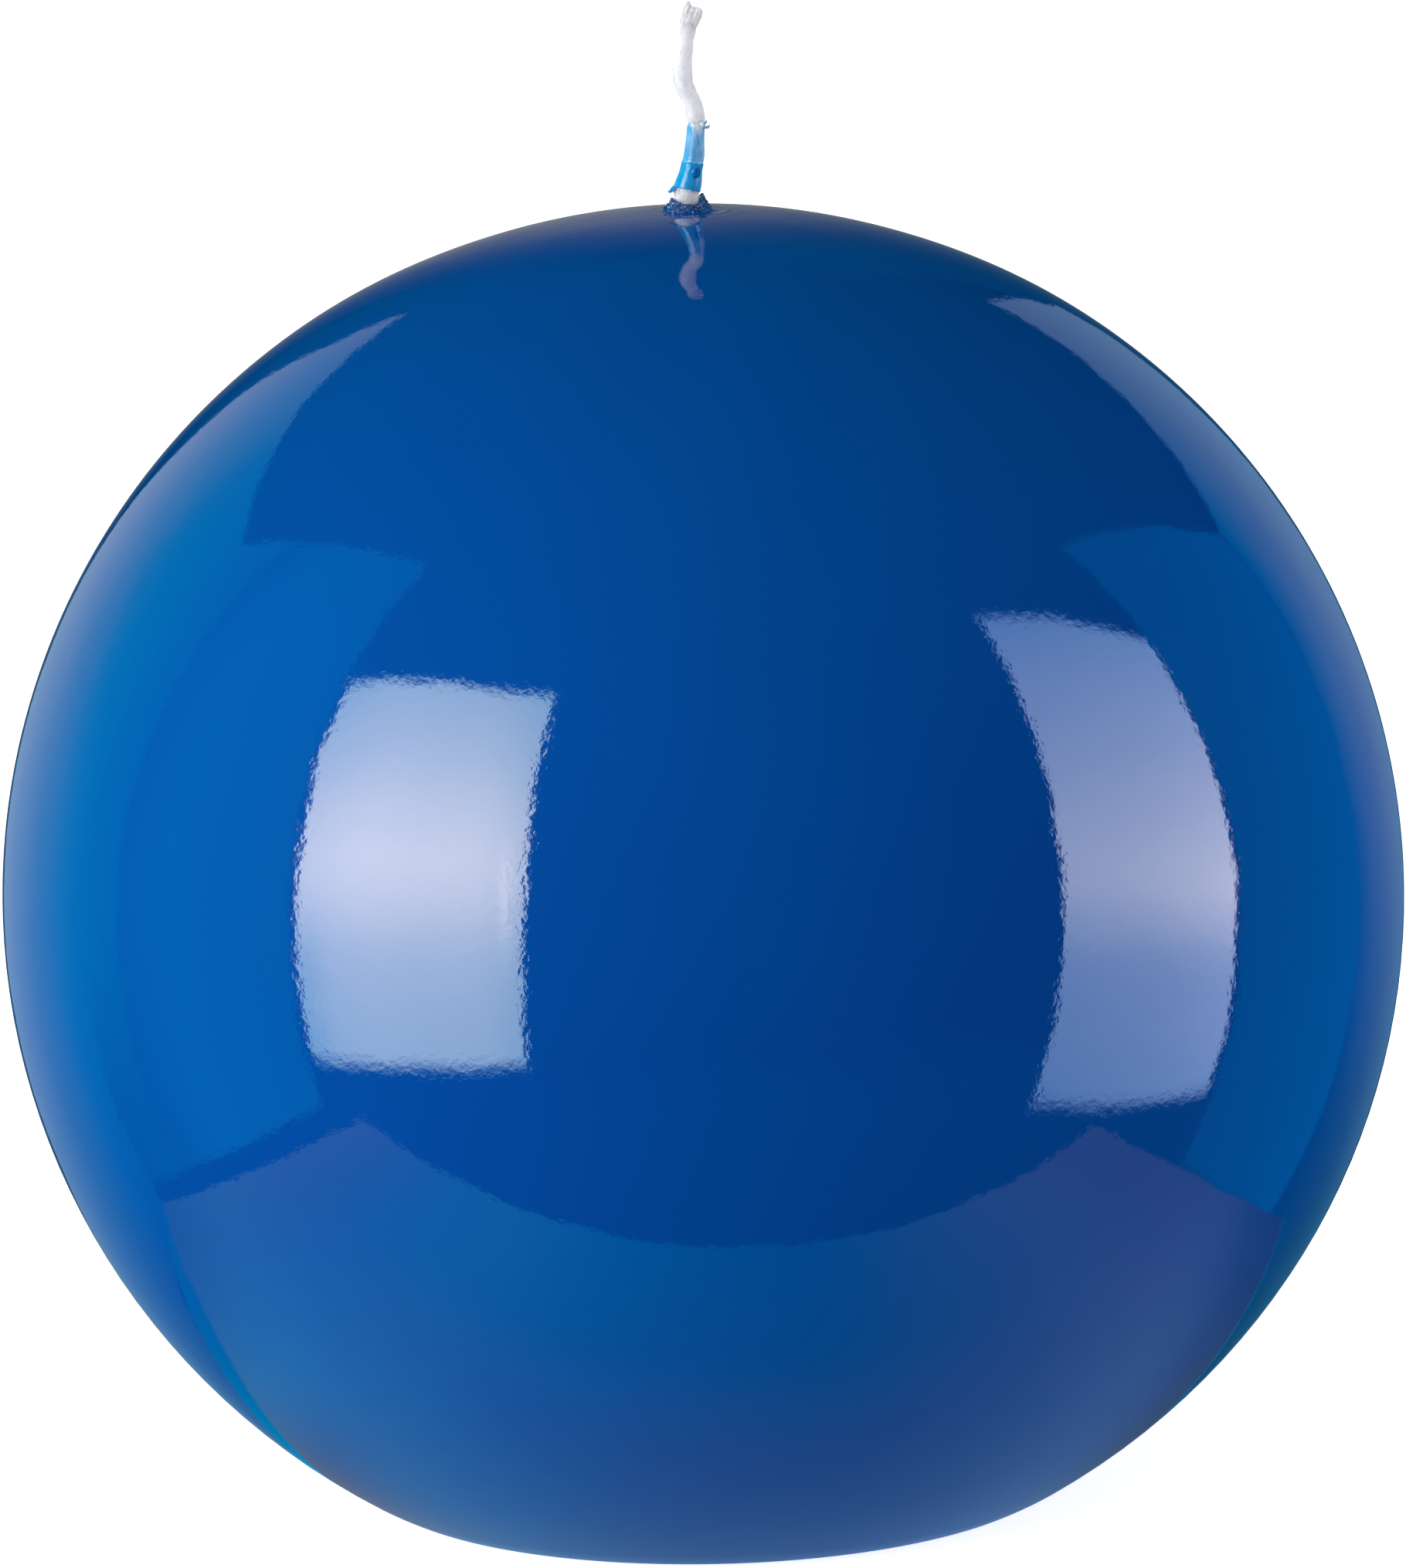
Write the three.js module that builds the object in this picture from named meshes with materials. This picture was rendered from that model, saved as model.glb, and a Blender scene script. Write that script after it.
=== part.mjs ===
// A lacquered ball candle, in millimetres, +Z up. The origin is the centre of its flat foot,
// and -Y is its front, the way the free end of the wick leans.
//
// From the inside out: a pressed white wax core with a bore up its middle, an overdip of blue
// hard wax, and a skin of gloss lacquer. A braided wick stands in the bore, held at the foot by
// a tinplate sustainer. Where it leaves the ball it breaks through a crust of wax and lacquer,
// and a film of the same blue wax still covers the lower half of its free end.

import * as THREE from "three";

// ---- Driving dimensions -------------------------------------------------------------------

const BALL_RADIUS = 50; // at the equator, outside the lacquer
const SQUASH = 0.988; // the ball's height over its width, before the foot is levelled
const CENTRE_HEIGHT = 42.9; // of the equator above the foot
const FOOT_ROUND = 18.5; // radius of the ball's turn into the foot, outside the lacquer

const LACQUER = 0.3; // thickness of each coat
const OVERDIP = 1.0;
const COAT_GAP = 0.2; // clearance between one coat and the next

const WICK_RADIUS = 0.7;
const WICK_START = 1.1; // height of the wick's lower end above the foot
const WICK_BORE = 0.95; // radius of the bore through the core and the overdip

const CRUST_INNER = 1.12; // the broken ring round the wick, at the top of the ball
const CRUST_OUTER = 1.62;
const CRUST_HEIGHT = 0.75;
const CRUST_GAP = 0.15;

const FILM_WALL = 0.1; // the wax film on the wick, thicker where it was dipped twice
const FILM_CLEARANCE = 0.08;

const SUSTAINER_RADIUS = 7; // a tinplate disc with a neck that grips the wick
const SUSTAINER_SHEET = 0.3;
const NECK_RADIUS = 1.35;
const NECK_HEIGHT = 5;
const SUSTAINER_LIFT = 0.3; // the disc sits this far up inside the foot
const POCKET_GAP = 0.25; // clearance round the sustainer in the core

// ---- Worked out from those ----------------------------------------------------------------

const AROUND = 48; // facets round the wick's axis
const POLE = CENTRE_HEIGHT + BALL_RADIUS * SQUASH; // height of the ball's top
const COATS = LACQUER + COAT_GAP + OVERDIP + COAT_GAP; // depth of the core's surface

// Depths below the lacquer's outer surface, and where the turn into the foot has its centre.
// The foot cuts off all of the coats there, so its middle is bare core.
const LACQUER_INSIDE = LACQUER;
const OVERDIP_OUTSIDE = LACQUER + COAT_GAP;
const OVERDIP_INSIDE = OVERDIP_OUTSIDE + OVERDIP;
const FOOT_DEPTH = CENTRE_HEIGHT / SQUASH; // of the foot below the equator, before squashing
const ROUND_HEIGHT = FOOT_ROUND - COATS; // of the turn's centre above the foot
const ROUND_DROP = FOOT_DEPTH - ROUND_HEIGHT; // of the turn's centre below the equator
const ROUND_CENTRE = Math.sqrt((BALL_RADIUS - FOOT_ROUND) ** 2 - ROUND_DROP ** 2);
const ROUND_START = Math.atan2(ROUND_DROP, ROUND_CENTRE); // latitude where the turn begins

// ---- Helpers ------------------------------------------------------------------------------

// A closed solid of revolution about +Z. The profile is [radius, height] points that run
// anticlockwise, seen with the axis on the left.
function turned(profile, around = AROUND) {
  const closed = [...profile, profile[0]];
  const points = closed.map(([radius, height]) => new THREE.Vector2(radius, height));
  return new THREE.LatheGeometry(points, around).rotateX(Math.PI / 2);
}

// count + 1 points along an arc from one angle to another.
function arc(radius, centre, from, to, count) {
  return Array.from({ length: count + 1 }, (_, i) => {
    const angle = from + ((to - from) * i) / count;
    return [centre[0] + radius * Math.cos(angle), centre[1] + radius * Math.sin(angle)];
  });
}

// The ball's outline at a depth below the lacquer's surface, from the foot up to an opening of
// the given radius at the top.
function outline(depth, opening) {
  const radius = BALL_RADIUS - depth;
  const round = FOOT_ROUND - depth;
  const footAngle = -Math.PI / 2 + Math.acos(Math.min(1, ROUND_HEIGHT / round));
  const turn = arc(round, [ROUND_CENTRE, -ROUND_DROP], footAngle, -ROUND_START, 5);
  const lower = arc(radius, [0, 0], -ROUND_START, 0, 5);
  const upper = arc(radius, [0, 0], 0, Math.acos(opening / radius), 11);
  return [...turn, ...lower.slice(1), ...upper.slice(1)].map(
    ([r, z]) => [r, Math.max(0, CENTRE_HEIGHT + z * SQUASH)]);
}

// A shell between two depths, open at the foot and round the wick.
function coat(outside, inside, opening) {
  return turned([...outline(outside, opening), ...outline(inside, opening).reverse()]);
}

function piece(name, geometry, material) {
  const mesh = new THREE.Mesh(geometry, material);
  mesh.name = name;
  return mesh;
}

// ---- Materials ----------------------------------------------------------------------------

const finish = (color, roughness, metalness = 0) =>
  new THREE.MeshStandardMaterial({ color, roughness, metalness });

const whiteWax = finish(0xf1efe8, 0.55);
const blueWax = finish(0x0b4f9e, 0.45);
const blueLacquer = finish(0x04499a, 0.08);
const crustWax = finish(0x10346f, 0.35);
const filmWax = finish(0x3fa4df, 0.25);
const cotton = finish(0xf0eff2, 0.95);
const tinplate = finish(0xb9bcc0, 0.3, 1);

// ---- The ball: core, overdip and lacquer --------------------------------------------------

// The core has a pocket in its foot for the sustainer's disc and neck.
function coreProfile() {
  const pocketRoof = SUSTAINER_LIFT + SUSTAINER_SHEET + POCKET_GAP;
  const pocketRadius = SUSTAINER_RADIUS + POCKET_GAP;
  const neckPocket = NECK_RADIUS + POCKET_GAP;
  const neckRoof = SUSTAINER_LIFT + NECK_HEIGHT + POCKET_GAP;
  return [
    ...outline(COATS, WICK_BORE),
    [WICK_BORE, neckRoof],
    [neckPocket, neckRoof],
    [neckPocket, pocketRoof],
    [pocketRadius, pocketRoof],
    [pocketRadius, 0],
  ];
}

const waxCore = piece("wax_core", turned(coreProfile()), whiteWax);
const overdipCoat = piece(
  "overdip_coat", coat(OVERDIP_OUTSIDE, OVERDIP_INSIDE, WICK_BORE), blueWax);
const lacquerSkin = piece(
  "lacquer_skin", coat(0, LACQUER_INSIDE, CRUST_OUTER + CRUST_GAP), blueLacquer);

// ---- The crust round the foot of the free wick --------------------------------------------

// A ring that stands on the overdip inside the skin's opening. Its rim is ragged: low at the
// front, with one lump on the right.
function crustGeometry() {
  const foot = POLE - OVERDIP_OUTSIDE + CRUST_GAP;
  const flare = 0.15; // the ring's outside leans in by this towards its rim
  const ring = turned([
    [CRUST_OUTER, foot],
    [CRUST_OUTER, POLE + 0.1],
    [CRUST_OUTER - flare, POLE + CRUST_HEIGHT],
    [CRUST_INNER, POLE + CRUST_HEIGHT],
    [CRUST_INNER, foot],
  ], 24);
  const spots = ring.getAttribute("position");
  for (let i = 0; i < spots.count; i++) {
    const angle = Math.atan2(spots.getY(i), spots.getX(i));
    const rise = Math.max(0, spots.getZ(i) - POLE) / CRUST_HEIGHT;
    const rim = 0.32 * Math.sin(angle) + 0.2 * Math.cos(angle) + 0.1 * Math.sin(5 * angle);
    spots.setZ(i, spots.getZ(i) + rim * rise * CRUST_HEIGHT);
  }
  return ring;
}

const wickCrust = piece("wick_crust", crustGeometry(), crustWax);

// ---- The wick and the film of wax on it ---------------------------------------------------

// The free end's centreline, [x, y, height above the ball's top]: it leans forward and swings
// right, left and right again.
const FREE_WICK = [
  [0, 0, 0],
  [-0.08, -0.25, 1.1],
  [0.22, -0.6, 2.4],
  [0.48, -1.0, 3.8],
  [0.63, -1.45, 5.2],
  [0.71, -1.8, 6.6],
  [0.43, -2.1, 7.8],
  [-0.05, -2.35, 8.9],
  [-0.2, -2.7, 10.3],
  [-0.06, -3.05, 11.7],
  [0.26, -3.4, 13.2],
  [0.6, -3.75, 14.7],
];

const wickPath = new THREE.CatmullRomCurve3([
  ...[WICK_START, POLE / 3, (2 * POLE) / 3, POLE - 4, POLE - 1.5].map(
    (height) => new THREE.Vector3(0, 0, height)),
  ...FREE_WICK.map(([x, y, rise]) => new THREE.Vector3(x, y, POLE + rise)),
]);

// A round rod or tube that follows a path.
function along(path, radius, hole, sides, steps) {
  const corners = (r) =>
    Array.from({ length: sides }, (_, i) => {
      const angle = (2 * Math.PI * i) / sides;
      return new THREE.Vector2(r * Math.cos(angle), r * Math.sin(angle));
    });
  const section = new THREE.Shape(corners(radius));
  if (hole) section.holes.push(new THREE.Path(corners(hole).reverse()));
  return new THREE.ExtrudeGeometry(section, { steps, extrudePath: path });
}

const wick = piece("wick", along(wickPath, WICK_RADIUS, 0, 10, 72), cotton);

// The stretch of the wick's centreline between two heights above the ball's top.
function freeStretch(from, to) {
  const points = wickPath.getSpacedPoints(600).filter(
    ({ z }) => z >= POLE + from && z <= POLE + to);
  return new THREE.CatmullRomCurve3(points);
}

const FILM_INNER = WICK_RADIUS + FILM_CLEARANCE;
const FILM_BOTTOM = 1.55; // heights above the ball's top
const FILM_STEP = 3.6;
const FILM_TOP = 6.3;
const FILM_JOIN = 0.02; // clearance between the two dips
const lowerFilm = piece(
  "wick_film_lower",
  along(freeStretch(FILM_BOTTOM, FILM_STEP), FILM_INNER + 2 * FILM_WALL, FILM_INNER, 12, 5),
  filmWax);
const upperFilm = piece(
  "wick_film_upper",
  along(freeStretch(FILM_STEP + FILM_JOIN, FILM_TOP), FILM_INNER + FILM_WALL, FILM_INNER, 12, 6),
  filmWax);

// ---- The sustainer ------------------------------------------------------------------------

// A disc whose middle is drawn up into a neck round the wick, pinched once to grip it.
function sustainerProfile() {
  const bottom = SUSTAINER_LIFT;
  const top = bottom + NECK_HEIGHT;
  const bore = NECK_RADIUS - SUSTAINER_SHEET;
  const pinch = 0.2;
  const pinchHeight = bottom + NECK_HEIGHT * 0.6;
  return [
    [SUSTAINER_RADIUS, bottom],
    [SUSTAINER_RADIUS, bottom + SUSTAINER_SHEET],
    [NECK_RADIUS, bottom + SUSTAINER_SHEET],
    [NECK_RADIUS, pinchHeight - 1],
    [NECK_RADIUS - pinch, pinchHeight],
    [NECK_RADIUS, pinchHeight + 1],
    [NECK_RADIUS, top],
    [bore, top],
    [bore, pinchHeight + 1],
    [bore - pinch, pinchHeight],
    [bore, pinchHeight - 1],
    [bore, bottom],
  ];
}

const sustainer = piece("wick_sustainer", turned(sustainerProfile(), 32), tinplate);

// ---- The candle ---------------------------------------------------------------------------

const candle = new THREE.Group();
candle.add(waxCore, overdipCoat, lacquerSkin, wickCrust, wick, lowerFilm, upperFilm, sustainer);
export default candle;
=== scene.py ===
"""The looks of a glossy blue ball candle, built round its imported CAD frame.

Shapes are worked out in millimetres in the frame's own axes (+Z up, -Y the front) and turned
into metres when each mesh is made.
"""

import math
import random

import bpy
from mathutils import Matrix, Vector, noise


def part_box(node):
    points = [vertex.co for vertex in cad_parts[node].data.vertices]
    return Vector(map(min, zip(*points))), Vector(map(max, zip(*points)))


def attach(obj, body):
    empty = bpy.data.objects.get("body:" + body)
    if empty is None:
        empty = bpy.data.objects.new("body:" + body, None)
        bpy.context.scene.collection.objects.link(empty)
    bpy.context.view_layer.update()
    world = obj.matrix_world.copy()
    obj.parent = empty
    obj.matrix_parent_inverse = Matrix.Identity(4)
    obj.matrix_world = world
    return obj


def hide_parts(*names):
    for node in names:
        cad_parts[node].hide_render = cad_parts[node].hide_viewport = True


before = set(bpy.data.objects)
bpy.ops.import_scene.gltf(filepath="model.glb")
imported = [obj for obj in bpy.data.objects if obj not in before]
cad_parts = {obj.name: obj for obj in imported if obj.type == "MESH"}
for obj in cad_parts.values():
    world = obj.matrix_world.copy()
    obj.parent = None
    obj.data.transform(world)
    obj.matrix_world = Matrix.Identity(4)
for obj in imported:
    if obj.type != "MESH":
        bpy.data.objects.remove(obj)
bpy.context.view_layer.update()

MM = 0.001
rng = random.Random(7)


# ---- The ball's outline, from the frame ---------------------------------------------------------

skin_low, skin_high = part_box("lacquer_skin")
RADIUS = (skin_high.x - skin_low.x) / 2 / MM
SQUASH = 0.988  # height over width before the foot is levelled
WAIST = 42.9  # height of the equator above the foot
POLE = WAIST + RADIUS * SQUASH
FOOT_ROUND = 18.5  # radius of the turn into the foot
COATS = 1.7  # depth of the core's surface below the lacquer's
COAT_INSIDE = 1.5  # depth of the dipped coat's inside
OPENING = 1.64  # radius of the lacquer's hole round the wick

ROUND_DROP = WAIST / SQUASH - (FOOT_ROUND - COATS)
ROUND_CENTRE = math.sqrt((RADIUS - FOOT_ROUND) ** 2 - ROUND_DROP**2)
ROUND_START = math.atan2(ROUND_DROP, ROUND_CENTRE)


def arc(radius, centre, start, end, count):
    """count + 1 points along an arc."""
    angles = [start + (end - start) * i / count for i in range(count + 1)]
    return [(centre[0] + radius * math.cos(a), centre[1] + radius * math.sin(a)) for a in angles]


def outline(depth, opening):
    """The outline at a depth below the lacquer's surface, from the foot to the top."""
    turn, lower, upper = 14, 28, 80  # steps round the foot, below the waist and above it
    radius, turn_radius = RADIUS - depth, FOOT_ROUND - depth
    foot = -math.pi / 2 + math.acos(min(1, (FOOT_ROUND - COATS) / turn_radius))
    points = arc(turn_radius, (ROUND_CENTRE, -ROUND_DROP), foot, -ROUND_START, turn)
    points += arc(radius, (0, 0), -ROUND_START, 0, lower)[1:]
    points += arc(radius, (0, 0), 0, math.acos(opening / radius), upper)[1:]
    return [(r, max(0.0, WAIST + z * SQUASH)) for r, z in points]


# ---- The free wick's centreline -----------------------------------------------------------------

FREE_WICK = [  # x, y, height above the ball's top
    (0, 0, -3),
    (0, 0, 0),
    (-0.08, -0.25, 1.1),
    (0.22, -0.6, 2.4),
    (0.48, -1.0, 3.8),
    (0.63, -1.45, 5.2),
    (0.71, -1.8, 6.6),
    (0.43, -2.1, 7.8),
    (-0.05, -2.35, 8.9),
    (-0.2, -2.7, 10.3),
    (-0.06, -3.05, 11.7),
    (0.26, -3.4, 13.2),
    (0.6, -3.75, 14.7),
]
COTTON_RADIUS = [  # radius of the cotton, height above the ball's top
    (0.7, -3), (0.8, 0), (0.84, 0.5), (0.87, 1.0), (0.81, 1.5), (0.77, 2.0), (0.66, 3.8),
    (0.6, 5.2), (0.6, 6.2), (0.65, 6.9), (0.62, 7.8), (0.66, 8.9), (0.72, 10.3), (0.68, 11.7),
    (0.62, 12.6), (0.6, 13.3), (0.48, 14.0), (0.3, 14.7),
]


def smooth_between(table, h):
    """Catmull-Rom interpolation in a table whose rows are (values..., h) sorted by h."""
    i = 0
    while i < len(table) - 2 and table[i + 1][-1] < h:
        i += 1
    a, b = table[i], table[i + 1]
    before, after = table[max(0, i - 1)], table[min(len(table) - 1, i + 2)]
    span = b[-1] - a[-1]
    t = max(0.0, min(1.0, (h - a[-1]) / span))
    result = []
    for k in range(len(a) - 1):
        slope_a = (b[k] - before[k]) / (b[-1] - before[-1]) * span
        slope_b = (after[k] - a[k]) / (after[-1] - a[-1]) * span
        result.append(
            (2 * t**3 - 3 * t**2 + 1) * a[k] + (t**3 - 2 * t**2 + t) * slope_a
            + (3 * t**2 - 2 * t**3) * b[k] + (t**3 - t**2) * slope_b
        )
    return result


def wick_point(h):
    x, y = smooth_between(FREE_WICK, h)
    return Vector((x, y, POLE + h))


def wick_frame(h):
    """The centre at height h, and two directions square to the wick: right and back."""
    tangent = (wick_point(h + 0.05) - wick_point(h - 0.05)).normalized()
    right = (Vector((1, 0, 0)) - tangent * tangent.x).normalized()
    return wick_point(h), right, tangent.cross(right)


def round_wick(h, angle, radius):
    """A point beside the wick. Angle 0 is to its right and -90 degrees in front of it."""
    centre, right, back = wick_frame(h)
    return centre + right * (radius * math.cos(angle)) + back * (radius * math.sin(angle))


def cotton_radius(h):
    return smooth_between(COTTON_RADIUS, h)[0]


# ---- Mesh helpers -------------------------------------------------------------------------------

def new_piece(name, points, faces, material, slot=None, smooth=True, values=None):
    """An object from points in millimetres. values maps a name to one number per point."""
    mesh = bpy.data.meshes.new(name)
    mesh.from_pydata([Vector(p) * MM for p in points], [], faces)
    mesh.polygons.foreach_set("use_smooth", [smooth] * len(mesh.polygons))
    for label, numbers in (values or {}).items():
        layer = mesh.attributes.new(label, "FLOAT", "POINT")
        layer.data.foreach_set("value", numbers)
    mesh.materials.append(material)
    mesh.update()
    obj = bpy.data.objects.new(name, mesh)
    bpy.context.scene.collection.objects.link(obj)
    if slot:
        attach(obj, "root")
    return obj


def grid_faces(rows, columns, start=0):
    """Quads between successive closed rows of points."""
    faces = []
    for i in range(rows - 1):
        for j in range(columns):
            k = (j + 1) % columns
            a, b = start + i * columns, start + (i + 1) * columns
            faces.append((a + j, a + k, b + k, b + j))
    return faces


def closing(rows, columns):
    """Quads from the last closed row of points back to the first."""
    last = (rows - 1) * columns
    return [(last + j, last + (j + 1) % columns, (j + 1) % columns, j) for j in range(columns)]


def turned(name, profile, material, slot, around=256, shape=None):
    """A surface of revolution. shape(r, angle, z) may move each point."""
    points = []
    for r, z in profile:
        for j in range(around):
            angle = 2 * math.pi * j / around
            radius, height = shape(r, angle, z) if shape else (r, z)
            points.append((radius * math.cos(angle), radius * math.sin(angle), height))
    return new_piece(name, points, grid_faces(len(profile), around), material, slot)


def fbm(x, y, z, octaves=3):
    """Smooth noise between about -1 and 1."""
    return noise.fractal(Vector((x, y, z)), 1.0, 2.0, octaves, noise_basis="PERLIN_ORIGINAL")


def hump(t, centre, width):
    """A bell curve, 1 high at its centre."""
    return math.exp(-((t - centre) / width) ** 2)


def ease(t):
    """A smooth step from 0 at t = 0 to 1 at t = 1."""
    t = max(0.0, min(1.0, t))
    return t * t * (3 - 2 * t)


class Strands:
    """Many thin tapered strands in one mesh."""

    def __init__(self, sides):
        self.sides, self.points, self.faces = sides, [], []

    def add(self, path, radii):
        start = len(self.points)
        for i, (centre, radius) in enumerate(zip(path, radii)):
            along = path[min(i + 1, len(path) - 1)] - path[max(i - 1, 0)]
            side = along.orthogonal().normalized()
            up = along.normalized().cross(side)
            for j in range(self.sides):
                a = 2 * math.pi * j / self.sides
                spot = centre + side * (radius * math.cos(a))
                self.points.append(spot + up * (radius * math.sin(a)))
        self.faces += grid_faces(len(path), self.sides, start)
        last = start + (len(path) - 1) * self.sides
        self.faces.append(tuple(range(last, last + self.sides)))
        self.faces.append(tuple(range(start + self.sides - 1, start - 1, -1)))


# ---- Materials ----------------------------------------------------------------------------------

class Nodes:
    """A short way to build a material's nodes."""

    def __init__(self, name, **settings):
        self.material = bpy.data.materials.new(name)
        self.material.use_nodes = True
        self.tree = self.material.node_tree
        self.shader = self.tree.nodes["Principled BSDF"]
        self.place = self.add("ShaderNodeTexCoord").outputs["Object"]
        for socket, value in settings.items():
            self.shader.inputs[socket.replace("_", " ")].default_value = value

    def add(self, kind, inputs=None, **settings):
        node = self.tree.nodes.new(kind)
        for key, value in settings.items():
            setattr(node, key, value)
        for key, value in (inputs or {}).items():
            if isinstance(value, bpy.types.NodeSocket):
                self.tree.links.new(value, node.inputs[key])
            else:
                node.inputs[key].default_value = value
        return node

    def stretched(self, scale):
        return self.add("ShaderNodeMapping", {"Vector": self.place, "Scale": scale}).outputs[0]

    def noise(self, scale, detail, place=None):
        inputs = {"Vector": place or self.place, "Scale": scale, "Detail": detail}
        return self.add("ShaderNodeTexNoise", inputs).outputs["Fac"]

    def between(self, factor, low, high, start=0.0, end=1.0):
        """A number from low to high while factor goes from start to end."""
        node = self.add(
            "ShaderNodeMapRange",
            {"Value": factor, "From Min": start, "From Max": end, "To Min": low, "To Max": high},
        )
        return node.outputs["Result"]

    def ramp(self, factor, *stops):
        node = self.add("ShaderNodeValToRGB", {"Fac": factor})
        elements = node.color_ramp.elements
        while len(elements) < len(stops):
            elements.new(0.5)
        for element, (position, colour) in zip(elements, stops):
            element.position, element.color = position, (*colour, 1)
        return node.outputs["Color"]

    def maths(self, operation, a, b):
        return self.add("ShaderNodeMath", {0: a, 1: b}, operation=operation).outputs[0]

    def value(self, name):
        return self.add("ShaderNodeAttribute", attribute_name=name).outputs["Fac"]

    def bump(self, height, depth, below=None):
        """A bump of the given depth in metres, on top of another one."""
        inputs = {"Height": height, "Strength": 1.0, "Distance": depth}
        if below:
            inputs["Normal"] = below
        return self.add("ShaderNodeBump", inputs).outputs["Normal"]

    def put(self, socket, output):
        self.tree.links.new(output, self.shader.inputs[socket])


def lacquer_material():
    m = Nodes("gloss_lacquer", IOR=1.5, Specular_Tint=(0.8, 0.98, 1.0, 1.0))
    m.put("Base Color", m.ramp(
        m.noise(28, 2), (0.3, (0.0008, 0.053, 0.292)), (0.7, (0.0010, 0.057, 0.308))))
    scratches = m.between(m.noise(160, 3, m.stretched((1.0, 1.0, 9.0))), 0.018, 0.032, 0.45, 0.75)
    haze = m.between(m.noise(90, 4), 0.0, 0.012, 0.4, 0.8)
    m.put("Roughness", m.maths("ADD", scratches, haze))
    orange_peel = m.bump(m.noise(1900, 3.0), 6.5e-6)
    m.put("Normal", m.bump(m.noise(190, 1.0), 3e-5, orange_peel))
    return m.material


def dipped_wax_material():
    m = Nodes("dipped_wax", IOR=1.45)
    m.put("Base Color", m.ramp(
        m.noise(900, 4), (0.3, (0.004, 0.075, 0.30)), (0.75, (0.02, 0.14, 0.42))))
    m.put("Roughness", m.between(m.noise(1500, 3), 0.3, 0.55))
    m.put("Normal", m.bump(m.noise(2500, 4), 4e-5))
    return m.material


def pressed_wax_material():
    m = Nodes("pressed_wax", IOR=1.44, Subsurface_Weight=0.12, Subsurface_Scale=0.002,
              Subsurface_Radius=(1.0, 1.0, 1.0))
    cells = m.add("ShaderNodeTexVoronoi", {"Vector": m.place, "Scale": 950.0}, feature="SMOOTH_F1")
    grain = cells.outputs["Distance"]
    tone = m.maths("ADD", m.between(grain, 0.0, 0.6), m.between(m.noise(220, 3), 0.0, 0.4))
    m.put("Base Color", m.ramp(tone, (0.2, (0.80, 0.79, 0.75)), (0.9, (0.66, 0.66, 0.63))))
    m.put("Roughness", m.between(m.noise(700, 3), 0.42, 0.65))
    m.put("Normal", m.bump(grain, 9e-5, m.bump(m.noise(4000, 3), 2e-5)))
    return m.material


def fibre_material():
    m = Nodes("cotton_fibres", Roughness=0.9, Specular_IOR_Level=0.2, Sheen_Weight=0.3)
    m.put("Base Color", m.ramp(
        m.noise(1800, 2), (0.3, (0.90, 0.895, 0.91)), (0.7, (0.96, 0.955, 0.97))))
    return m.material


def cotton_material():
    m = Nodes("bleached_cotton", Sheen_Weight=0.3, Sheen_Roughness=0.5, Specular_IOR_Level=0.2,
              Subsurface_Weight=1.0, Subsurface_Scale=0.0015, Subsurface_Radius=(1.0, 1.0, 1.0))
    fibres = m.noise(2600, 4, m.stretched((3.0, 3.0, 0.7)))
    m.put("Base Color", m.ramp(fibres, (0.25, (0.86, 0.855, 0.88)), (0.7, (0.93, 0.925, 0.945))))
    m.put("Roughness", m.between(fibres, 0.8, 0.98))
    m.put("Normal", m.bump(fibres, 7e-5))
    return m.material


def film_material():
    m = Nodes("wick_film", IOR=1.45)
    streaks = m.noise(1500, 3, m.stretched((2.2, 2.2, 0.5)))
    # The "thick" value sets how deep the blue is; on the film's right front it also carries painted
    # light.
    thick = m.maths("ADD", m.value("thick"), m.between(streaks, -0.12, 0.12, 0.3, 0.7))
    m.put("Base Color", m.ramp(
        thick,
        (0.0, (0.88, 0.885, 0.91)),
        (0.25, (0.36, 0.62, 0.84)),
        (0.5, (0.085, 0.37, 0.69)),
        (0.75, (0.005, 0.30, 0.61)),
        (1.0, (0.002, 0.20, 0.48)),
    ))
    m.put("Roughness", m.between(m.noise(2400, 3), 0.06, 0.16))
    m.put("Normal", m.bump(streaks, 2.5e-5))
    return m.material


def drop_material():
    m = Nodes("lacquer_drop", IOR=1.5)
    m.put("Base Color", m.ramp(
        m.noise(2200, 3), (0.38, (0.001, 0.10, 0.36)), (0.62, (0.004, 0.20, 0.52))))
    m.put("Roughness", m.between(m.noise(3000, 2), 0.06, 0.16))
    return m.material


def crust_material():
    m = Nodes("broken_lacquer", IOR=1.5)
    speck_and_glint = m.noise(5200, 3)
    # Dark and mid-blue specks of the broken lacquer; the palest stop paints glints into the colour,
    # a painted highlight.
    m.put("Base Color", m.ramp(
        speck_and_glint,
        (0.34, (0.001, 0.014, 0.07)),
        (0.50, (0.003, 0.055, 0.22)),
        (0.64, (0.015, 0.16, 0.45)),
        (0.80, (0.35, 0.52, 0.78)),
    ))
    m.put("Roughness", m.between(m.noise(3600, 2), 0.04, 0.2))
    m.put("Normal", m.bump(speck_and_glint, 6e-5))
    return m.material


def tinplate_material():
    m = Nodes("tinplate", Metallic=1.0)
    m.put("Base Color", m.ramp(
        m.noise(500, 3), (0.3, (0.50, 0.51, 0.53)), (0.7, (0.66, 0.67, 0.68))))
    m.put("Roughness", m.between(m.noise(900, 4, m.stretched((1, 6, 1))), 0.22, 0.42))
    m.put("Normal", m.bump(m.noise(1800, 2), 1e-5))
    return m.material


lacquer = lacquer_material()
dipped_wax = dipped_wax_material()
pressed_wax = pressed_wax_material()
cotton = cotton_material()
fibres = fibre_material()
film = film_material()
drop = drop_material()
crust = crust_material()
tinplate = tinplate_material()


# ---- The camera ---------------------------------------------------------------------------------

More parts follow.
